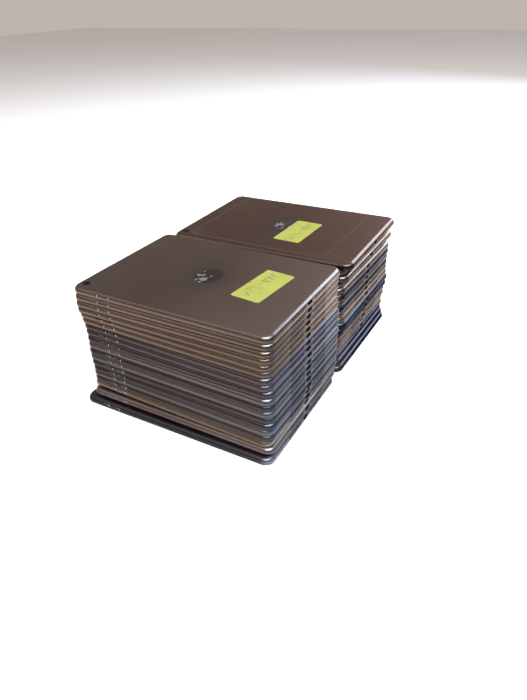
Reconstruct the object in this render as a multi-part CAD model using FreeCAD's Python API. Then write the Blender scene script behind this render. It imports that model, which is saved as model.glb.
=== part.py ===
import FreeCAD, Part
import math
import os
from FreeCAD import Vector

os.makedirs("parts", exist_ok=True)

# Two piles of tablet computers lying face down, side by side on a table.
# One tablet is built in its own frame: X from the lens end (0) to the port end, Y from the
# volume-key side (0) to the far long side, Z from the glass it lies on (0) up to its back.
LENGTH, WIDTH, THICK = 240.0, 169.5, 7.5
CORNER_R = 11.0              # corners, seen from above
EDGE_R = 5.2                 # roll of the back down to the sides
RIM_Z, RIM_CHAMFER = 0.7, 0.3  # the metal stops short of the table, on the black glass frame
MID_X, MID_Y, MID_Z = LENGTH / 2, WIDTH / 2, 3.6   # MID_Z is the height of ports and keys

POCKET_INSET, POCKET_TOP = 3.2, 6.3
SEAT_INSET, SEAT_Z = 1.0, 1.05                     # recess the glass sits in
GLASS_INSET, GLASS_T = 1.1, 1.0
FRAME_INSET, FRAME_T = 0.45, 0.62                  # black frame round the glass, below the rim
PANEL_L, PANEL_W, PANEL_Z, PANEL_T = 197.5, 148.2, 1.05, 1.8

KEY_H, KEY_PROUD, KEY_GAP, KEY_CHAMFER = 2.6, 0.4, 0.2, 0.25
VOLUME_L, VOLUME_UP_X, VOLUME_DOWN_X = 13.0, 31.0, 46.0
SLEEP_L, SLEEP_Y = 10.0, 24.0
FLANGE_T = 0.5

LENS_X, LENS_Y, LENS_R = 12.0, 13.0, 3.7
HOME_X, HOME_R = 229.2, 5.2
PORT_L, PORT_H, PORT_DEPTH = 10.0, 3.2, 5.4
JACK_Y, JACK_R, JACK_BARREL_R, JACK_DEPTH = 156.0, 1.75, 2.3, 13.0
MIC_X, MIC_R = 13.7, 0.55

GRILLE_R, GRILLE_PITCH, GRILLE_COUNT, GRILLE_ROW_GAP = 0.72, 2.2, 14, 1.8
GRILLE_START = 11.55         # first hole, measured from the middle of the end

EMBLEM_X, EMBLEM_Y, EMBLEM_DEPTH = 14.5, 18.0, 0.3  # half sizes of the plain oval inlay
LABEL_L, LABEL_W, LABEL_R, LABEL_T = 69.0, 35.0, 3.0, 0.15

PITCH = 7.7                  # a tablet, its paper label and a hair of air

# How each tablet lies in its pile, top one first: shift along X, shift along Y, turn in degrees.
FRONT_PILE = [
    (0, 0, 0), (0, -1, 0.2), (-0.5, -1.5, 0.1), (-1, -1, -0.1), (-1, 0.5, -0.8),
    (-1, 1.5, -0.8), (0, 1.5, -1.4), (0, 1.5, -1.4), (1, 1, -0.8), (1.5, 0, -1.2),
    (1, 0, -0.9), (1, 0, -0.9), (1, 0.5, -0.6), (2, 0, -0.9), (0.5, 0.5, -1.2),
    (0.5, 0.5, -1.2), (-1, 0.5, -1.2), (1, -3.5, 0.1), (-5, -10.5, 0.3),
]
REAR_PILE = [
    (6.5, 2, 1.0), (-1.5, 1.5, 0.4), (3.5, 2, -0.1), (-2, 2, -0.4), (1, 2.5, -0.8),
    (1, 2.5, -0.8), (0.5, 2, -1.1), (0.5, 2.5, -0.8), (0.5, 2.5, -0.8), (1, 3, -0.6),
    (3, 3, 0), (2, 1, -0.9), (0, 1.5, -0.8), (0, 1.5, -0.7), (-2, 2, -0.6),
    (-1.5, 1.5, -0.8), (-2.5, 1.5, -0.8), (0, 1.5, -0.6), (2.5, 2, -0.4),
]
REAR_TURNED = (2, 4)         # these two, counted from the top, lie end for end
FRONT_LONGER = (19,)         # the lowest front tablet is a longer model of the same width
LONGER_BY = 7.0
LET_OUT_AT = (150.0, 100.0)  # plain places along a tablet, where its section does not change
REAR_Y = 170.5               # from the front pile's nominal place to the rear pile's
ORIGIN_X, ORIGIN_Y = 1.19, 166.4   # middle of the outline of both piles together


def block(x0, x1, y0, y1, z0, z1, radius=0.0):
    """A box with its four upright edges rounded."""
    box = Part.makeBox(x1 - x0, y1 - y0, z1 - z0, Vector(x0, y0, z0))
    if radius == 0:
        return box
    return box.makeFillet(radius, [e for e in box.Edges if upright(e)])


def upright(edge):
    return len(edge.Vertexes) == 2 and abs(edge.tangentAt(edge.FirstParameter).z) > 0.99


def at_height(shape, z):
    return [e for e in shape.Edges if all(abs(v.Z - z) < 1e-4 for v in e.Vertexes)]


def inset_plate(inset, z0, z1):
    """A plate with the tablet's own outline, drawn in by `inset` on every side."""
    return block(inset, LENGTH - inset, inset, WIDTH - inset, z0, z1, CORNER_R - inset)


def outer_form(grow=0.0):
    """The tablet's outside, or the same form grown outwards to shape the keys."""
    form = inset_plate(-grow, RIM_Z, THICK + grow)
    return form.makeFillet(EDGE_R + grow, at_height(form, THICK + grow))


def rod(x, y, z, radius, height, axis):
    return Part.makeCylinder(radius, height, Vector(x, y, z), axis)


def pill(length, height, depth):
    """A bar with round ends: length along X, height along Z, depth along +Y, centred at 0."""
    half, r = length / 2 - height / 2, height / 2
    right = Part.Arc(Vector(half, 0, -r), Vector(half + r, 0, 0), Vector(half, 0, r)).toShape()
    left = Part.Arc(Vector(-half, 0, r), Vector(-half - r, 0, 0), Vector(-half, 0, -r)).toShape()
    top = Part.LineSegment(Vector(half, 0, r), Vector(-half, 0, r)).toShape()
    bottom = Part.LineSegment(Vector(-half, 0, -r), Vector(half, 0, -r)).toShape()
    return Part.Face(Part.Wire([right, top, left, bottom])).extrude(Vector(0, depth, 0))


def placed(shape, x, y, z, turn=0.0):
    """A copy turned about Z and then moved."""
    copy = shape.copy()
    copy.rotate(Vector(0, 0, 0), Vector(0, 0, 1), turn)
    copy.translate(Vector(x, y, z))
    return copy


def key(length, x, y, turn):
    """A pill key that stands just proud of the side, with a flange that holds it in."""
    stem = placed(pill(length, KEY_H, POCKET_INSET + 1.5), x, y, MID_Z, turn)
    stem.translate(placed_vector(0, -1.0, turn))
    cap = stem.common(outer_form(KEY_PROUD))
    cap = cap.makeChamfer(KEY_CHAMFER, outline_of_rolled_face(cap))
    flange = placed(pill(length + 1.6, KEY_H + 0.8, FLANGE_T), x, y, MID_Z, turn)
    flange.translate(placed_vector(0, POCKET_INSET + 0.1, turn))
    return cap.fuse(flange).removeSplitter()


def outline_of_rolled_face(cap):
    """The edges round the key's outer face, which follows the roll of the back."""
    radius = EDGE_R + KEY_PROUD
    rolled = [f for f in cap.Faces
              if isinstance(f.Surface, Part.Cylinder) and abs(f.Surface.Radius - radius) < 1e-3]
    return [e for f in rolled for e in f.Edges]


def placed_vector(x, y, turn):
    a = math.radians(turn)
    return Vector(x * math.cos(a) - y * math.sin(a), x * math.sin(a) + y * math.cos(a), 0)


def key_hole(length, x, y, turn):
    hole = placed(pill(length + 2 * KEY_GAP, KEY_H + 2 * KEY_GAP, POCKET_INSET + 1.2), x, y, MID_Z, turn)
    hole.translate(placed_vector(0, -1.0, turn))
    return hole


def grille_holes():
    """Two rows of fine holes on each side of the port, drilled through the port end."""
    holes = []
    for side in (-1, 1):
        for row in (-0.5, 0.5):
            for n in range(GRILLE_COUNT):
                y = MID_Y + side * (GRILLE_START + n * GRILLE_PITCH)
                z = MID_Z + row * GRILLE_ROW_GAP
                holes.append(rod(LENGTH - 4, y, z, GRILLE_R, 5, Vector(1, 0, 0)))
    return holes


def emblem_oval(z0, z1, shrink=0.0):
    oval = Part.Ellipse(Vector(MID_X, MID_Y, z0), EMBLEM_Y - shrink, EMBLEM_X - shrink)
    face = Part.Face(Part.Wire([oval.toShape()]))
    face.rotate(Vector(MID_X, MID_Y, z0), Vector(0, 0, 1), 90)
    return face.extrude(Vector(0, 0, z1 - z0))


def make_housing():
    shell = outer_form()
    shell = shell.makeChamfer(RIM_CHAMFER, at_height(shell, RIM_Z))
    shell = shell.cut(inset_plate(SEAT_INSET, 0, SEAT_Z))
    shell = shell.cut(inset_plate(POCKET_INSET, 0, POCKET_TOP))
    port = placed(pill(PORT_L, PORT_H, 5), LENGTH + 1, MID_Y, MID_Z, 90)
    openings = [
        key_hole(VOLUME_L, VOLUME_UP_X, 0, 0),
        key_hole(VOLUME_L, VOLUME_DOWN_X, 0, 0),
        key_hole(SLEEP_L, 0, SLEEP_Y, -90),
        port,
        rod(-1, JACK_Y, MID_Z, JACK_R + 0.05, 5, Vector(1, 0, 0)),
        rod(MIC_X, -1, MID_Z, MIC_R, 5, Vector(0, 1, 0)),
        rod(LENS_X, LENS_Y, POCKET_TOP - 1, LENS_R + 0.1, 3, Vector(0, 0, 1)),
        emblem_oval(THICK - EMBLEM_DEPTH, THICK + 1),
    ]
    return shell.cut(Part.makeCompound(openings + grille_holes()))


def make_screen():
    """Cover glass with the home-button hole, and the display panel behind it."""
    glass = inset_plate(GLASS_INSET, 0, GLASS_T).fuse(inset_plate(FRAME_INSET, 0, FRAME_T))
    glass = glass.removeSplitter()
    glass = glass.makeChamfer(0.15, at_height(glass, 0))
    glass = glass.cut(rod(HOME_X, MID_Y, -1, HOME_R + 0.15, 3, Vector(0, 0, 1)))
    half_l, half_w = PANEL_L / 2, PANEL_W / 2
    panel = block(MID_X - half_l, MID_X + half_l, MID_Y - half_w, MID_Y + half_w,
                  PANEL_Z, PANEL_Z + PANEL_T, 1.0)
    return Part.makeCompound([glass, panel])


def make_battery():
    """Two cells joined by their film into one pack."""
    film = block(110, 126, 50, 146, 3.05, 3.45)
    cells = block(28, 116, 36, 160, 3.05, 6.05, 3).fuse(block(120, 208, 36, 160, 3.05, 6.05, 3))
    return cells.fuse(film).removeSplitter()


def make_electronics():
    """Logic board with shielded chips, and the two speaker boxes behind the grilles."""
    board = block(24, 156, 6, 30, 3.2, 4.0, 2)
    for x0, x1, y0, y1, top in ((32, 58, 9, 27, 5.4), (66, 90, 8, 26, 5.2), (98, 146, 10, 26, 5.0)):
        board = board.fuse(block(x0, x1, y0, y1, 4.0, top))
    boxes = []
    for y in (MID_Y - 25.5, MID_Y + 25.5):
        box = block(222, 236.6, y - 15.5, y + 15.5, 1.6, 5.9)
        boxes.append(box.cut(block(225, 237, y - 14.5, y + 14.5, 2.1, 5.1)))
    return Part.makeCompound([board.removeSplitter()] + boxes)


def make_camera():
    """Sensor block, barrel and the flush round cover in the back."""
    body = block(LENS_X - 4.2, LENS_X + 4.2, LENS_Y - 4.2, LENS_Y + 4.2, 1.8, 6.0, 0.6)
    up = Vector(0, 0, 1)
    body = body.fuse(rod(LENS_X, LENS_Y, 5.9, 3.0, 0.9, up))
    return body.fuse(rod(LENS_X, LENS_Y, 6.7, LENS_R, THICK - 6.75, up)).removeSplitter()


def make_ports():
    """Charging-port socket with its contact tongue, and the headphone-jack barrel."""
    front = LENGTH - POCKET_INSET - 0.1
    socket = block(front - 7, front, MID_Y - 6, MID_Y + 6, 1.62, 5.7, 0.8)
    socket = socket.cut(placed(pill(PORT_L, PORT_H, PORT_DEPTH), front, MID_Y, MID_Z, 90))
    tongue = block(front - 6, front - 1, MID_Y - 3.2, MID_Y + 3.2, MID_Z - 0.3, MID_Z + 0.3)
    barrel = rod(POCKET_INSET + 0.1, JACK_Y, MID_Z, JACK_BARREL_R, JACK_DEPTH, Vector(1, 0, 0))
    barrel = barrel.cut(rod(0, JACK_Y, MID_Z, JACK_R, JACK_DEPTH + 2, Vector(1, 0, 0)))
    return Part.makeCompound([socket.fuse(tongue).removeSplitter(), barrel])


def make_home_button():
    cap = rod(HOME_X, MID_Y, 0.05, HOME_R, 1.15, Vector(0, 0, 1))
    return cap.makeChamfer(0.2, at_height(cap, 0.05))


def make_emblem():
    return emblem_oval(THICK - EMBLEM_DEPTH, THICK - 0.02, 0.05)


def make_label(x, y, turn):
    half_w, half_l = LABEL_W / 2, LABEL_L / 2
    sheet = block(-half_w, half_w, -half_l, half_l, THICK, THICK + LABEL_T, LABEL_R)
    return placed(sheet, x, y, 0, turn)


def tablet(label_x, label_y, label_turn):
    """Every piece of one tablet, in the tablet's own frame."""
    return {
        "housing": make_housing(),
        "screen": make_screen(),
        "battery": make_battery(),
        "electronics": make_electronics(),
        "camera": make_camera(),
        "ports": make_ports(),
        "emblem": make_emblem(),
        "label": make_label(label_x, label_y, label_turn),
        "home_button": make_home_button(),
        "volume_up": key(VOLUME_L, VOLUME_UP_X, 0, 0),
        "volume_down": key(VOLUME_L, VOLUME_DOWN_X, 0, 0),
        "sleep_button": key(SLEEP_L, 0, SLEEP_Y, -90),
    }


def let_out(solid, x, extra):
    """One solid made longer: parted at x, moved on beyond it, and filled with the section there."""
    box = solid.BoundBox
    if box.XMax <= x:
        return solid
    if box.XMin >= x:
        return placed(solid, extra, 0, 0)
    before = solid.common(Part.makeBox(x + 50, 400, 50, Vector(-50, -50, -10)))
    beyond = placed(solid.common(Part.makeBox(400, 400, 50, Vector(x, -50, -10))), extra, 0, 0)
    ends = [f for f in before.Faces if all(abs(v.X - x) < 1e-6 for v in f.Vertexes)]
    filling = [f.extrude(Vector(extra, 0, 0)) for f in ends]
    return before.fuse(filling + [beyond]).removeSplitter()


def longer(shape):
    solids = shape.Solids
    for x in LET_OUT_AT:
        solids = [let_out(s, x, LONGER_BY / len(LET_OUT_AT)) for s in solids]
    return Part.makeCompound(solids)


def laid(shape, dx, dy, turn, level, count):
    """The shape moved from the tablet's frame to its place in the pile."""
    copy = placed(shape, -MID_X, -MID_Y, 0)
    copy.rotate(Vector(0, 0, 0), Vector(0, 0, 1), turn)
    height = (count - 1 - level) * PITCH
    copy.translate(Vector(dx - ORIGIN_X, MID_Y + dy - ORIGIN_Y, height))
    return copy


def export_pile(name, pieces, places, shift_y, turned, long_ones):
    """The top tablet goes out piece by piece, every other one as one file."""
    whole = Part.makeCompound(list(pieces.values()))
    for level, (dx, dy, turn) in enumerate(places):
        if level + 1 in turned:
            turn = turn + 180
        spot = (dx, dy + shift_y, turn, level, len(places))
        if level > 0:
            body = longer(whole) if level + 1 in long_ones else whole
            laid(body, *spot).exportStep("parts/%s_%02d.step" % (name, level + 1))
            continue
        for piece, shape in pieces.items():
            laid(shape, *spot).exportStep("parts/%s_01_%s.step" % (name, piece))


export_pile("front", tablet(184.0, 90.0, -5.7), FRONT_PILE, 0.0, (), FRONT_LONGER)
export_pile("rear", tablet(143.5, 70.0, -2.5), REAR_PILE, REAR_Y, REAR_TURNED, ())
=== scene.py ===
# %% [markdown]
# # Two piles of tablet computers, seen in a small studio
#
# The solids come from the CAD model: 38 thin tablets lying face down in two piles. Blender's job is
# how they look. Each step below says what a piece or a finish is on the real object, how it could be
# made, and why it is made the way it is here.

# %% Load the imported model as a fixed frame
import math

import bpy
import numpy as np
from mathutils import Matrix, Vector


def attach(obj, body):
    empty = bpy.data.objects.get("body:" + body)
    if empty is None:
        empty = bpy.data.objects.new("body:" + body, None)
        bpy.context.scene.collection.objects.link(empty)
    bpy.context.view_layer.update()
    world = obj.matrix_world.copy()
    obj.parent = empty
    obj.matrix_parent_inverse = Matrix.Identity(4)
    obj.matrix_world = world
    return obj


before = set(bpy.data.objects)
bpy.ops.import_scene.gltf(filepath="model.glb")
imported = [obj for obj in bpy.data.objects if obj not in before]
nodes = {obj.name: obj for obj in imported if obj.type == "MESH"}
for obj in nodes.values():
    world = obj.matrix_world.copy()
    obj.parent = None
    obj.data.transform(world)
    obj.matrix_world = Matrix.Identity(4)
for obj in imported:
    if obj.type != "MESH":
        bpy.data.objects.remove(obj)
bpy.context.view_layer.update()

MM = 0.001

# %% [markdown]
# ## Where each tablet lies
#
# Every tablet has the same shape, so a detail is easiest to place in the tablet's own frame: X from the
# lens end to the port end, Y from the volume-key side, Z up from the glass it lies on. The piles were
# stacked by hand, so each tablet is shifted and turned a little. These are the same figures that the CAD
# model uses, top tablet first: shift along X, shift along Y, turn in degrees, and the finish of its shell.

# %% The tablets and their places
LENGTH, WIDTH, THICK, PITCH = 240.0, 169.5, 7.5, 7.7
LONGER_BY, LET_OUT_X = 7.0, 155.0     # front_19 is a longer model, let out before this place
COUNT = 19                            # tablets in each pile
MIDDLE_X, MIDDLE_Y = 1.19, 166.4      # middle of the outline of both piles together
REAR_Y = 170.5                        # from the front pile's nominal place to the rear pile's

FRONT_PILE = [
    (0, 0, 0, "champagne"), (0, -1, 0.2, "gold"), (-0.5, -1.5, 0.1, "gold"), (-1, -1, -0.1, "gold"),
    (-1, 0.5, -0.8, "gold"), (-1, 1.5, -0.8, "gold"), (0, 1.5, -1.4, "rose grey"),
    (0, 1.5, -1.4, "rose grey"), (1, 1, -0.8, "space grey"), (1.5, 0, -1.2, "silver"),
    (1, 0, -0.9, "dark grey"), (1, 0, -0.9, "silver"), (1, 0.5, -0.6, "space grey"),
    (2, 0, -0.9, "dark grey"), (0.5, 0.5, -1.2, "silver"), (0.5, 0.5, -1.2, "space grey"),
    (-1, 0.5, -1.2, "copper"), (1, -3.5, 0.1, "rose silver"), (-5, -10.5, 0.3, "black"),
]
REAR_PILE = [
    (6.5, 2, 1.0, "bronze"), (-1.5, 1.5, 0.4, "gold"), (3.5, 2, -0.1, "gold"), (-2, 2, -0.4, "gold"),
    (1, 2.5, -0.8, "gold"), (1, 2.5, -0.8, "steel blue"), (0.5, 2, -1.1, "gold"),
    (0.5, 2.5, -0.8, "steel blue"), (0.5, 2.5, -0.8, "gold"), (1, 3, -0.6, "gold"),
    (3, 3, 0, "steel blue"), (2, 1, -0.9, "steel blue"), (0, 1.5, -0.8, "gold"), (0, 1.5, -0.7, "gold"),
    (-2, 2, -0.6, "gold"), (-1.5, 1.5, -0.8, "silver"), (-2.5, 1.5, -0.8, "lavender"),
    (0, 1.5, -0.6, "lavender"), (2.5, 2, -0.4, "lavender"),
]
REAR_TURNED = (2, 4)                  # counted from the top, these lie end for end


class Place:
    """Where one tablet lies: turns its own millimetres into metres in the model, and back."""

    def __init__(self, pile, level):
        rows = FRONT_PILE if pile == "front" else REAR_PILE
        dx, dy, turn, self.finish = rows[level]
        if pile == "rear" and level + 1 in REAR_TURNED:
            turn += 180
        self.name = "%s_%02d" % (pile, level + 1)
        self.body = "pile_base" if level == COUNT - 1 else "%s_tablet_%02d" % (pile, level + 1)
        self.turn = turn
        x = dx - MIDDLE_X
        y = WIDTH / 2 + dy - MIDDLE_Y + (REAR_Y if pile == "rear" else 0)
        z = (COUNT - 1 - level) * PITCH
        spot = Matrix.Translation(Vector((x, y, z)) * MM)
        self.matrix = (spot @ Matrix.Rotation(math.radians(turn), 4, "Z") @ Matrix.Scale(MM, 4)
                       @ Matrix.Translation((-LENGTH / 2, -WIDTH / 2, 0)))
        self.back = self.matrix.inverted()

    def inside(self, obj):
        """The middle of each of the mesh's faces, in this tablet's own millimetres."""
        centres = np.zeros(len(obj.data.polygons) * 3, np.float32)
        obj.data.polygons.foreach_get("center", centres)
        flat = np.array(self.back, float)
        spots = centres.reshape(-1, 3) @ flat[:3, :3].T + flat[:3, 3]
        if self.name == "front_19":
            spots[spots[:, 0] > LET_OUT_X, 0] -= LONGER_BY
        return spots


PLACES = [Place(pile, level) for pile in ("front", "rear") for level in range(COUNT)]
print("tablets:", len(PLACES), "from", PLACES[0].name, "to", PLACES[-1].name)

# %% [markdown]
# ## A small kit for materials
#
# A finish is built from procedural nodes that read Object coordinates. The CAD objects sit at the
# origin, so those coordinates are the model's own metres, and a pattern stays put on its tablet when
# the tablet is lifted. The helpers below only save typing: each adds one node and links its inputs.


# %% Helpers that add shader nodes
class Shader:
    """One material's node tree, with a short call for each kind of node used here."""

    def __init__(self, name):
        self.material = bpy.data.materials.new(name)
        self.material.use_nodes = True
        self.tree = self.material.node_tree
        self.surface = self.tree.nodes["Principled BSDF"]
        self.place = self.tree.nodes.new("ShaderNodeTexCoord").outputs["Object"]

    def feed(self, socket, value):
        if isinstance(value, bpy.types.NodeSocket):
            self.tree.links.new(value, socket)
        else:
            socket.default_value = value

    def set(self, **values):
        for name, value in values.items():
            self.feed(self.surface.inputs[name.replace("_", " ")], value)

    def math(self, operation, a, b=0.0):
        node = self.tree.nodes.new("ShaderNodeMath")
        node.operation = operation
        self.feed(node.inputs[0], a)
        self.feed(node.inputs[1], b)
        return node.outputs[0]

    def stretched(self, scale, turn=(0, 0, 0), move=(0, 0, 0)):
        node = self.tree.nodes.new("ShaderNodeMapping")
        self.feed(node.inputs["Vector"], self.place)
        node.inputs["Location"].default_value = move
        node.inputs["Rotation"].default_value = turn
        node.inputs["Scale"].default_value = scale
        return node.outputs[0]

    def noise(self, scale, detail=2.0, roughness=0.5, place=None):
        node = self.tree.nodes.new("ShaderNodeTexNoise")
        self.feed(node.inputs["Vector"], place or self.place)
        self.feed(node.inputs["Scale"], scale)
        self.feed(node.inputs["Detail"], detail)
        self.feed(node.inputs["Roughness"], roughness)
        return node.outputs["Fac"]

    def vector_math(self, operation, a, b=None):
        node = self.tree.nodes.new("ShaderNodeVectorMath")
        node.operation = operation
        self.feed(node.inputs[0], a)
        if b is not None:
            self.feed(node.inputs[1], b)
        return node.outputs["Value" if operation == "LENGTH" else "Vector"]

    def split(self, vector):
        node = self.tree.nodes.new("ShaderNodeSeparateXYZ")
        self.feed(node.inputs[0], vector)
        return node.outputs

    def away_from(self, centre, half):
        """Distance from a centre seen from above, where 1 is the edge of an oval."""
        scale, move = (1 / half[0], 1 / half[1], 0), (-centre[0] / half[0], -centre[1] / half[1], 0)
        return self.vector_math("LENGTH", self.stretched(scale, move=move))

    def tinted(self, colour, amount):
        """The colour made lighter or darker by a changing amount."""
        node = self.tree.nodes.new("ShaderNodeVectorMath")
        node.operation = "SCALE"
        self.feed(node.inputs[0], colour)
        self.feed(node.inputs["Scale"], amount)
        return node.outputs[0]

    def spread(self, value, low, high, to_low=0.0, to_high=1.0):
        node = self.tree.nodes.new("ShaderNodeMapRange")
        self.feed(node.inputs["Value"], value)
        for name, number in zip(("From Min", "From Max", "To Min", "To Max"), (low, high, to_low, to_high)):
            self.feed(node.inputs[name], number)
        return node.outputs["Result"]

    def blend(self, share, first, second):
        node = self.tree.nodes.new("ShaderNodeMix")
        node.data_type = "RGBA"
        self.feed(node.inputs["Factor"], share)
        self.feed(node.inputs["A"], first)
        self.feed(node.inputs["B"], second)
        return node.outputs["Result"]

    def bump(self, height, strength, distance):
        node = self.tree.nodes.new("ShaderNodeBump")
        self.feed(node.inputs["Height"], height)
        node.inputs["Strength"].default_value = strength
        node.inputs["Distance"].default_value = distance
        return node.outputs["Normal"]


def tone(red, green, blue, share=1.0):
    """A colour for a node, darker or lighter by `share`."""
    return (red * share, green * share, blue * share, 1.0)


# %% [markdown]
# ## The shells: blasted and anodised aluminium
#
# A tablet's back is machined from aluminium, blasted with fine beads and anodised, which leaves a silky
# metal with a grain too fine to see singly. Years of hands and bags add a soft blotchiness and hairline
# scratches, and the sides get a painted shade that changes along X. One function builds that finish, and
# only the tints differ from tablet to tablet: each was dyed in another batch, and each finish's back, side
# and port-end tints are one metal painted lit and shaded three ways.
#
# Not every tint here is dye or wear. The port ends run from dark at their near side to pale at their far
# side, the backs pale along X, and some shells have their own low-angle tint. Those stand in for light
# that this small studio lacks, and they were tuned from one camera. To use a shell under other lights,
# give END_NEAR and END_FAR one steady value and BACK_PALER a value of 1.

# %% Anodised shells
# Painted light and shade: a finish's back, side and port-end tints are the same metal lit three ways.
TINTS = {                             # back, side and port end
    "champagne": ((0.148, 0.118, 0.107), (0.108, 0.075, 0.059), (0.113, 0.102, 0.100)),
    "bronze": ((0.124, 0.086, 0.073), (0.128, 0.089, 0.070), (0.055, 0.044, 0.039)),
    "gold": ((0.160, 0.122, 0.100), (0.105, 0.072, 0.053), (0.113, 0.087, 0.076)),
    "copper": ((0.160, 0.122, 0.100), (0.122, 0.083, 0.061), (0.200, 0.159, 0.138)),
    "silver": ((0.128, 0.120, 0.120), (0.082, 0.067, 0.065), (0.086, 0.095, 0.122)),
    "rose silver": ((0.160, 0.140, 0.140), (0.124, 0.085, 0.081), (0.084, 0.083, 0.100)),
    "rose grey": ((0.090, 0.079, 0.081), (0.062, 0.044, 0.044), (0.060, 0.065, 0.098)),
    "space grey": ((0.080, 0.072, 0.074), (0.047, 0.037, 0.035), (0.043, 0.050, 0.077)),
    "dark grey": ((0.068, 0.064, 0.067), (0.042, 0.031, 0.032), (0.034, 0.041, 0.066)),
    "black": ((0.060, 0.055, 0.060), (0.034, 0.029, 0.031), (0.135, 0.130, 0.165)),
    "steel blue": ((0.055, 0.060, 0.075), (0.060, 0.066, 0.094), (0.017, 0.018, 0.023)),
    "lavender": ((0.055, 0.052, 0.060), (0.100, 0.092, 0.120), (0.036, 0.034, 0.040)),
}
GLANCING = {                          # what a shell reflects at a low angle, where not the usual
    "bronze": (0.82, 0.73, 0.69), "gold": (0.84, 0.75, 0.70), "copper": (0.84, 0.74, 0.68),
    "steel blue": (0.60, 0.60, 0.65), "lavender": (0.44, 0.42, 0.48),
}
USUAL_GLANCING = (0.84, 0.78, 0.75)
GRAIN_SCALE, SMUDGE_SCALE, BLOTCH_SCALE = 2600.0, 24.0, 7.0
ROLL_LOW, ROLL_HIGH = 4.6, 7.2        # heights between which the side turns into the back
END_START, END_FULL = 108.0, 117.0    # how far along X the port end's tint begins, and is full
BACK_START, BACK_FULL = -10.0, 116.0  # where the backs begin to pale, and where they are palest
BACK_PALER = 1.6
END_SPAN = 60.0                       # the near-to-far change ends this far from the middle
END_NEAR, END_FAR = (0.36, 0.62), (1.42, -0.95)   # at the top tablet, and the change down the pile
REAR_SHARE = 0.72                     # how much of that the rear pile's ends have
SIDE_SPAN = 100.0                     # the sides' change along X ends this far from the middle
WARM = ("champagne", "bronze", "gold", "copper")
# Painted shade: the side tint grows lighter or darker from the lens end to the port end.
WARM_SIDES, COOL_SIDES = (1.12, 0.86), (0.84, 1.04)   # side tint at the lens end and the port end


def shell_finish(place, level, seed):
    """One tablet's metal: side, end and back tints, then smudges, scratches and grain."""
    back, side, end = TINTS[place.finish]
    lens_side, port_side = WARM_SIDES if place.finish in WARM else COOL_SIDES
    down = level / (COUNT - 1)
    pile = 1.0 if place.name.startswith("front") else REAR_SHARE
    near, far = (pile * (top + change * down) for top, change in (END_NEAR, END_FAR))
    middle_y = place.matrix.translation.y + 0.5 * WIDTH * MM * math.cos(math.radians(place.turn))
    s = Shader("shell " + place.name)
    shifted = s.stretched((1, 1, 1), move=(seed * 0.37, seed * 0.61, 0))
    grain = s.noise(GRAIN_SCALE, 3.0, 0.7)
    smudge = s.noise(SMUDGE_SCALE, 5.0, 0.62, shifted)
    blotch = s.spread(s.noise(BLOTCH_SCALE, 3.0, 0.5, shifted), 0.3, 0.7)
    hair = s.noise(1.0, 2.0, 0.5, s.stretched((26, 1500, 26), turn=(0, 0, 0.5 + seed)))
    scratch = s.spread(hair, 0.70, 0.74)
    axes = s.split(s.place)
    height = s.math("MODULO", axes["Z"], PITCH * MM)
    to_end = s.spread(axes["X"], END_START * MM, END_FULL * MM)
    # Painted shade along the sides, changing from the lens end to the port end.
    along = s.spread(axes["X"], -SIDE_SPAN * MM, SIDE_SPAN * MM)
    painted_side_shade = s.blend(along, tone(*side, lens_side), tone(*side, port_side))
    across = s.spread(axes["Y"], middle_y - END_SPAN * MM, middle_y + END_SPAN * MM)
    around = s.blend(to_end, painted_side_shade, s.blend(across, tone(*end, near), tone(*end, far)))
    paling = s.spread(axes["X"], BACK_START * MM, BACK_FULL * MM)
    paler = s.blend(paling, tone(*back), tone(*back, BACK_PALER))
    whole = s.blend(s.spread(height, ROLL_LOW * MM, ROLL_HIGH * MM), around, paler)
    worn = s.tinted(whole, s.spread(blotch, 0.0, 1.0, 0.91, 1.09))
    dusted = s.blend(s.math("MULTIPLY", scratch, 0.22), worn, tone(*back, 2.0))
    glancing = tone(*GLANCING.get(place.finish, USUAL_GLANCING))
    rough = s.spread(smudge, 0.25, 0.75, 0.27, 0.36)
    s.set(Base_Color=dusted, Metallic=1.0, Roughness=rough, Specular_Tint=glancing,
          Normal=s.bump(grain, 0.10, 0.00004))
    s.colour, s.smudge = dusted, smudge
    return s


shells = {}
for index, place in enumerate(PLACES):
    shells[place.name] = shell_finish(place, index % COUNT, index)
print("shell finishes:", len(shells), "in", len(TINTS), "tints")

# %% [markdown]
# ## Marks on the two backs that show
#
# A soft, cooler patch lies round each emblem and beside each lens, and a case that sat on the rear tablet
# for years left the faint outline of its window. These marks belong to one back only, so they are added on
# top of that tablet's own finish, as masks measured from a centre point.


# %% Patches and the outline left by a case
def soft_patch(s, centre, half, strength, shade):
    """Blend a tint into an oval patch whose edge the smudge noise breaks up."""
    away = s.away_from(centre, half)
    ragged = s.math("ADD", away, s.spread(s.smudge, 0.0, 1.0, -0.35, 0.35))
    mask = s.math("MULTIPLY", s.spread(ragged, 1.0, 0.25), strength)
    s.colour = s.blend(mask, s.colour, tone(*shade))
    s.set(Base_Color=s.colour)


def case_outline(s, centre, half, radius, shade):
    """A thin paler line round a rounded rectangle."""
    middle = s.stretched((1, 1, 0), move=(-centre[0], -centre[1], 0))
    straight = (half[0] - radius, half[1] - radius, 0)
    past = s.vector_math("SUBTRACT", s.vector_math("ABSOLUTE", middle), straight)
    away = s.vector_math("LENGTH", s.vector_math("MAXIMUM", past, (0, 0, 0)))
    off_line = s.math("ABSOLUTE", s.math("SUBTRACT", away, radius))
    line = s.spread(off_line, 1.3 * MM, 0.3 * MM)
    mask = s.math("MULTIPLY", line, s.spread(s.smudge, 0.3, 0.6, 0.35, 0.75))
    s.colour = s.blend(mask, s.colour, tone(*shade))
    s.set(Base_Color=s.colour)


def on_back(place, x, y):
    """A point on a tablet's back, as X and Y in the model's metres."""
    spot = place.matrix @ Vector((x, y, THICK))
    return spot.x, spot.y


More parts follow.
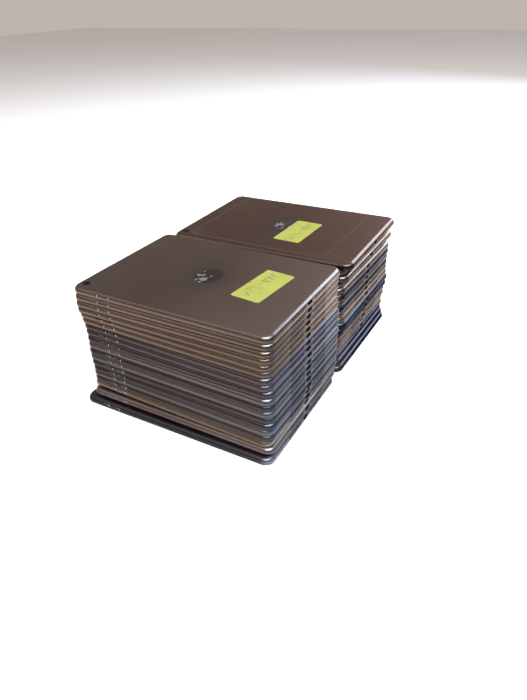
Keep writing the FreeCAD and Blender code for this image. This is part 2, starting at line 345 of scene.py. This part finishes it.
TOPS = [p for p in PLACES if p.name.endswith("_01")]
for place in TOPS:
    s = shells[place.name]
    soft_patch(s, on_back(place, 118, 84), (0.033, 0.045), 0.80, (0.082, 0.089, 0.100))
    soft_patch(s, on_back(place, 27, 18), (0.018, 0.014), 0.60, (0.118, 0.122, 0.134))
case_outline(shells["rear_01"], on_back(TOPS[1], 113, 86), (0.091, 0.0775), 0.012, (0.26, 0.23, 0.21))
print("marked backs:", [p.name for p in TOPS])

# %% [markdown]
# ## Glass, sockets, labels and inner parts
#
# The cover glass is black behind and polished. The lens cover, the sockets, the mirror-like emblem, the
# yellow-green paper label and the parts inside each get a finish of their own. The paper has fibres you
# can feel, the emblem's colour is a painted reflection, and the glass has a few greasy prints.


# %% The other finishes
def glass_finish():
    s = Shader("cover glass")
    prints = s.noise(40.0, 4.0, 0.6)
    black, greasy = tone(0.008, 0.008, 0.009), tone(0.02, 0.02, 0.022)
    s.set(Base_Color=s.blend(s.spread(prints, 0.3, 0.7), black, greasy),
          Roughness=s.spread(prints, 0.35, 0.75, 0.04, 0.16))
    return s.material


def dark_plastic_finish(name, colour, rough, shine=0.5):
    s = Shader(name)
    speck = s.noise(900.0, 3.0, 0.6)
    s.set(Base_Color=s.blend(speck, tone(*colour, 0.7), tone(*colour, 1.3)),
          Roughness=s.spread(speck, 0.2, 0.8, rough - 0.08, rough + 0.08),
          Specular_IOR_Level=shine, Normal=s.bump(speck, 0.15, 0.00003))
    return s.material


def metal_finish(name, dark, bright, rough):
    s = Shader(name)
    drawn = s.noise(1.0, 3.0, 0.6, s.stretched((300, 4000, 4000)))
    s.set(Base_Color=s.blend(drawn, tone(*dark), tone(*bright)), Metallic=1.0,
          Roughness=s.spread(drawn, 0.2, 0.8, rough, rough + 0.16))
    return s.material


def paper_finish():
    s = Shader("label paper")
    fibre = s.noise(1.0, 4.0, 0.65, s.stretched((900, 350, 900), turn=(0, 0, 0.4)))
    mottle = s.noise(60.0, 3.0, 0.5)
    base = s.blend(s.spread(mottle, 0.3, 0.7), tone(0.188, 0.192, 0.026), tone(0.212, 0.216, 0.034))
    s.set(Base_Color=s.blend(s.spread(fibre, 0.35, 0.75, 0.0, 0.25), base, tone(0.150, 0.155, 0.016)),
          Roughness=s.spread(fibre, 0.2, 0.8, 0.70, 0.92), Normal=s.bump(fibre, 0.35, 0.00006))
    return s.material


def emblem_finish(place):
    """Mirror-like metal with a painted reflection: dark, bright only in flecks, mostly towards the near
    lens-side corner.
    """
    s = Shader("emblem " + place.name)
    x, y = on_back(place, 113, 78)
    away = s.away_from((x, y), (0.016, 0.014))
    flecks = s.noise(1.0, 2.0, 0.5, s.stretched((210, 150, 210), turn=(0, 0, 0.6)))
    bright = s.math("SUBTRACT", flecks, s.spread(away, 0.2, 1.2, 0.0, 0.22))
    scuff = s.noise(1.0, 3.0, 0.6, s.stretched((120, 1600, 120), turn=(0, 0, 0.9)))
    # Painted reflection: the dark tone and the bright bluish flecks stand in for what the mirror reflects.
    painted_dark_reflection, polished = tone(0.045, 0.034, 0.030), tone(0.50, 0.58, 0.70)
    s.set(Base_Color=s.blend(s.spread(bright, 0.46, 0.52), painted_dark_reflection, polished),
          Metallic=1.0, Roughness=s.spread(scuff, 0.35, 0.75, 0.08, 0.30),
          Normal=s.bump(s.noise(95.0, 2.0, 0.5), 0.3, 0.0004))
    return s.material


glass = glass_finish()
inner_plastic = dark_plastic_finish("inner plastic", (0.006, 0.006, 0.007), 0.6, 0.05)
button_black = dark_plastic_finish("button black", (0.012, 0.012, 0.013), 0.22)
board_green = dark_plastic_finish("circuit board", (0.02, 0.09, 0.05), 0.42)
lens_black = dark_plastic_finish("lens black", (0.002, 0.002, 0.004), 0.15, 0.03)
socket_metal = metal_finish("socket metal", (0.02, 0.02, 0.02), (0.05, 0.05, 0.05), 0.30)
key_edge = metal_finish("polished key edge", (0.28, 0.28, 0.30), (0.40, 0.41, 0.45), 0.20)
paper = paper_finish()
emblems = {"front": emblem_finish(TOPS[0]), "rear": emblem_finish(TOPS[1])}
print("other finishes:", [m.name for m in (glass, inner_plastic, lens_black, socket_metal, key_edge, paper)])

# %% [markdown]
# ## Giving each face its finish
#
# The two top tablets come as separate pieces, so each piece simply takes one material. Every tablet
# under them is one node with all its pieces inside, so its faces are sorted by where they lie in the
# tablet's own frame: on the label, in the emblem's oval, in a key's outline, below the rim and so on.

# %% How far a face lies under the outside
CORNER_R, EDGE_R = 11.0, 5.2


def depth_inside(x, y, z):
    """How far points lie inside the tablet's outer surface, measured level, in millimetres."""
    past_x = np.abs(x - LENGTH / 2) - (LENGTH / 2 - CORNER_R)
    past_y = np.abs(y - WIDTH / 2) - (WIDTH / 2 - CORNER_R)
    round_corner = (past_x > 0) & (past_y > 0)
    outline = CORNER_R - np.where(round_corner, np.hypot(past_x, past_y), np.maximum(past_x, past_y))
    rise = np.clip((z - THICK + EDGE_R) / EDGE_R, 0, 1)
    return outline - EDGE_R * (1 - np.sqrt(1 - rise ** 2))


print("a point 1 mm in from the port end lies", depth_inside(239.0, 84.75, 2.0), "mm deep")

# %% Sort the faces by place
HOME, LENS, JACK_Y, PORT_Z = (229.2, 84.75), (12.0, 13.0), 156.0, 3.6
HOME_R, LENS_R, JACK_R = 5.22, 3.72, 2.35          # each a hair over the part's own radius
EMBLEM_HALF = (14.5, 18.0)
SEAT_TOP, POCKET_TOP, FRAME_TOP = 1.03, 6.25, 0.66  # heights in the housing, just inside each face
SHELL, GLASS, INNER, BUTTON, LENS_COVER, SOCKET, EMBLEM, PAPER, KEY_EDGE = range(9)


def sort_faces(place, obj):
    """Which finish each face takes. A later line wins over an earlier one."""
    x, y, z = place.inside(obj).T
    deep = depth_inside(x, y, z)
    kind = np.full(len(x), SHELL, np.int32)
    kind[(deep > 0.4) & (z > SEAT_TOP - 0.01) & (z < POCKET_TOP)] = INNER
    kind[(deep > -0.36) & (deep < -0.12)] = KEY_EDGE
    kind[(z < SEAT_TOP) & (deep > 1.05)] = GLASS
    kind[(z < FRAME_TOP) & (deep < 1.05)] = INNER
    kind[(np.hypot(x - HOME[0], y - HOME[1]) < HOME_R) & (z > 0.04) & (z < 1.6)] = BUTTON
    kind[(np.hypot(x - LENS[0], y - LENS[1]) < LENS_R) & (z > 6.0)] = LENS_COVER
    socket = (x > 229.5) & (x < 236.75) & (np.abs(y - HOME[1]) < 6.1) & (z > 1.95) & (z < 5.75)
    barrel = (x > 3.25) & (x < 16.4) & (np.hypot(y - JACK_Y, z - PORT_Z) < JACK_R)
    kind[socket | barrel] = SOCKET
    oval = ((x - LENGTH / 2) / EMBLEM_HALF[0]) ** 2 + ((y - WIDTH / 2) / EMBLEM_HALF[1]) ** 2
    kind[(oval < 1.0) & (z > 7.1) & (z < 7.49)] = EMBLEM
    kind[z > THICK + 0.001] = PAPER
    return kind


def dress(place, obj):
    """Give every face of one node its own finish."""
    pile = place.name.split("_")[0]
    obj.data.materials.clear()
    for m in (shells[place.name].material, glass, inner_plastic, button_black, lens_black, socket_metal,
              emblems[pile], paper, key_edge):
        obj.data.materials.append(m)
    obj.data.polygons.foreach_set("material_index", sort_faces(place, obj))


for place in PLACES:
    if place not in TOPS:
        dress(place, nodes[place.name])
print("faces sorted on", len(PLACES) - len(TOPS), "tablets")

# %% Finish the pieces of the two top tablets
for place in TOPS:
    for piece in ("housing", "volume_up", "volume_down", "sleep_button"):
        dress(place, nodes[place.name + "_" + piece])
    single = {"screen": glass, "battery": inner_plastic, "electronics": board_green, "camera": lens_black,
              "ports": socket_metal, "emblem": emblems[place.name.split("_")[0]], "label": paper,
              "home_button": button_black}
    for piece, material in single.items():
        obj = nodes[place.name + "_" + piece]
        obj.data.materials.clear()
        obj.data.materials.append(material)
print("top tablets finished:", [p.name for p in TOPS])

# %% [markdown]
# ## Lens rings
#
# On the two backs that show, a thin dark ring holds the lens cover. It could be turned as a torus, but a
# real ring is a flat stamping with a softened edge, so it is a disc that is inset, opened in the middle,
# given a little thickness and bevelled.


# %% Model one lens ring and copy it
def only(obj):
    bpy.ops.object.select_all(action="DESELECT")
    obj.select_set(True)
    bpy.context.view_layer.objects.active = obj


def apply_modifiers(obj):
    only(obj)
    for modifier in list(obj.modifiers):
        bpy.ops.object.modifier_apply(modifier=modifier.name)


def make_lens_ring():
    bpy.ops.object.select_all(action="DESELECT")
    bpy.ops.mesh.primitive_circle_add(vertices=72, radius=4.15 * MM, fill_type="NGON")
    ring = bpy.context.object
    bpy.ops.object.mode_set(mode="EDIT")
    bpy.ops.mesh.inset(thickness=0.45 * MM)
    bpy.ops.mesh.delete(type="FACE")
    bpy.ops.object.mode_set(mode="OBJECT")
    thick = ring.modifiers.new("thickness", "SOLIDIFY")
    thick.thickness, thick.offset = 0.16 * MM, 1.0
    soft = ring.modifiers.new("soft edge", "BEVEL")
    soft.width, soft.segments, soft.limit_method = 0.06 * MM, 2, "ANGLE"
    apply_modifiers(ring)
    bpy.ops.object.shade_smooth_by_angle(angle=math.radians(35))
    return ring


def lay_on_back(obj, place, x, y, lift=0.0, turn=0.0):
    """Put a finished piece on a tablet's back, with its place in its mesh."""
    spot = place.matrix @ Vector((x, y, THICK + lift))
    obj.data.transform(Matrix.Translation(spot) @ Matrix.Rotation(math.radians(place.turn + turn), 4, "Z"))
    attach(obj, place.body)


ring_black = dark_plastic_finish("ring black", (0.006, 0.006, 0.008), 0.40, 0.10)
first_ring = make_lens_ring()
first_ring.name = "front_lens_ring"
second_ring = first_ring.copy()
second_ring.data = first_ring.data.copy()
second_ring.name = "rear_lens_ring"
bpy.context.scene.collection.objects.link(second_ring)
for place, ring in zip(TOPS, (first_ring, second_ring)):
    ring.data.materials.append(ring_black)
    lay_on_back(ring, place, LENS[0], LENS[1], 0.005)
print("lens rings:", [len(r.data.polygons) for r in (first_ring, second_ring)])

# %% [markdown]
# ## Pen marks on the labels
#
# Someone has scribbled a few strokes on each label. Ink could be a texture, but a stroke drawn as a curve
# keeps a crisp edge at any distance. Each stroke is a short curve with a fine round section, turned into a
# mesh and pressed nearly flat. They are plain loops and zigzags, not writing.

# %% Draw the pen strokes
LABELS = {"front": (184.0, 90.0, -5.7), "rear": (143.5, 70.0, -2.5)}
PEN_R, LABEL_T = 0.27, 0.15
STROKES = [   # place along the label, length, height of the swing, swings
    (-28.0, 7.0, 4.0, 1.0), (-17.5, 7.0, 6.5, 0.5), (-9.0, 4.0, 6.5, 0.5), (-4.0, 9.0, 0.6, 0.3),
    (7.5, 6.5, 5.0, 1.5), (16.0, 4.5, 5.5, 1.0), (23.0, 4.5, 4.5, 1.0),
]


def make_stroke(along, length, swing, turns, drift):
    curve = bpy.data.curves.new("stroke", "CURVE")
    curve.dimensions, curve.bevel_depth, curve.bevel_resolution = "3D", PEN_R * MM, 1
    line = curve.splines.new("POLY")
    steps = 28
    line.points.add(steps)
    for n in range(steps + 1):
        t = n / steps
        x = drift + swing * math.cos(2 * math.pi * turns * t + along)
        y = along + length * t + 0.8 * math.sin(9 * t)
        line.points[n].co = (x * MM, y * MM, 0, 1)
    obj = bpy.data.objects.new("stroke", curve)
    bpy.context.scene.collection.objects.link(obj)
    only(obj)
    bpy.ops.object.convert(target="MESH")
    return bpy.context.object


def pen_marks(place, drift):
    lx, ly, turn = LABELS[place.name.split("_")[0]]
    strokes = [make_stroke(*row, drift) for row in STROKES]
    bpy.ops.object.select_all(action="DESELECT")
    for obj in strokes:
        obj.select_set(True)
    bpy.context.view_layer.objects.active = strokes[0]
    bpy.ops.object.join()
    marks = bpy.context.object
    marks.name = place.name.split("_")[0] + "_pen_marks"
    marks.data.transform(Matrix.Diagonal((1, 1, 0.3, 1)))
    bpy.ops.object.shade_smooth()
    marks.data.materials.clear()
    marks.data.materials.append(ink)
    lay_on_back(marks, place, lx, ly, LABEL_T, turn)
    return marks


ink = dark_plastic_finish("pen ink", (0.045, 0.050, 0.030), 0.55, 0.1)
marks = [pen_marks(place, drift) for place, drift in zip(TOPS, (-4.0, 3.0))]
print("pen marks:", [len(m.data.polygons) for m in marks], "faces")

# %% [markdown]
# ## The studio
#
# A pale floor under the piles and a broad soft light above, kept out of the reflections. Satin metal
# shows little but what it reflects, so each other lamp is there for one reflection: the window draws the
# pale line along the rolled port ends, the ceiling lamp and the strip give the bright spots where the
# near corners roll over, and the warm wall tints the long far sides. A dim warm room keeps the backs dark.


# %% Floor
FLOOR_HALF = 6.0


def add_floor():
    bpy.ops.object.select_all(action="DESELECT")
    bpy.ops.mesh.primitive_plane_add(size=2 * FLOOR_HALF, location=(0, 0, 0))
    floor = bpy.context.object
    floor.name = "floor"
    s = Shader("studio floor")
    drift = s.noise(1.5, 2.0, 0.5)
    s.set(Base_Color=s.blend(drift, tone(0.80, 0.80, 0.80), tone(0.84, 0.84, 0.84)), Roughness=0.9)
    floor.data.materials.append(s.material)


add_floor()
print("floor:", 2 * FLOOR_HALF, "m square")


# %% Lights and the room around
def add_light(name, at, aim, size, power, colour):
    data = bpy.data.lights.new(name, "AREA")
    data.shape, data.size, data.size_y = "RECTANGLE", size[0], size[1]
    data.energy, data.color = power, colour
    lamp = bpy.data.objects.new(name, data)
    lamp.visible_camera = False
    lamp.location = at
    lamp.rotation_euler = (Vector(aim) - Vector(at)).to_track_quat("-Z", "Y").to_euler()
    bpy.context.scene.collection.objects.link(lamp)
    return lamp


def turned_to(azimuth, elevation, far):
    """A point at that bearing from the +X axis and height above the floor, `far` metres away."""
    a, e = math.radians(azimuth), math.radians(elevation)
    return (far * math.cos(e) * math.cos(a), far * math.cos(e) * math.sin(a), far * math.sin(e) + 0.1)


PILES = (0, 0, 0.1)                   # what every lamp is turned to
overhead = add_light("overhead softbox", (0, 0, 2.2), PILES, (2.0, 2.0), 56, (1.0, 0.97, 0.94))
overhead.visible_glossy = False
add_light("window", turned_to(73, 25, 2.4), PILES, (1.5, 0.9), 36, (0.66, 0.82, 1.0))
add_light("ceiling lamp", turned_to(-54, 52, 2.0), PILES, (1.8, 0.8), 56, (0.80, 0.92, 1.0))
add_light("ceiling strip", turned_to(-12, 50, 2.0), PILES, (1.5, 0.35), 20, (0.86, 0.94, 1.0))
add_light("warm wall", turned_to(220, 38, 2.2), PILES, (1.2, 0.8), 3.5, (1.0, 0.88, 0.78))

world = bpy.data.worlds.new("dim room")
bpy.context.scene.world = world
world.use_nodes = True
background = world.node_tree.nodes["Background"]
background.inputs["Color"].default_value = (0.52, 0.46, 0.43, 1.0)
background.inputs["Strength"].default_value = 1.0

# %% Camera
camera_data = bpy.data.cameras.new("camera")
camera_data.sensor_width, camera_data.lens = 36.0, 28.68
camera_data.clip_start, camera_data.clip_end = 0.01, 50.0
camera = bpy.data.objects.new("camera", camera_data)
camera.location = (0.3184, -0.5289, 0.4049)
camera.rotation_euler = tuple(math.radians(a) for a in (56.94, 1.42, 28.75))
bpy.context.scene.collection.objects.link(camera)
bpy.context.scene.camera = camera
bpy.context.scene.view_settings.view_transform = "Standard"
print("camera at", tuple(camera.location))
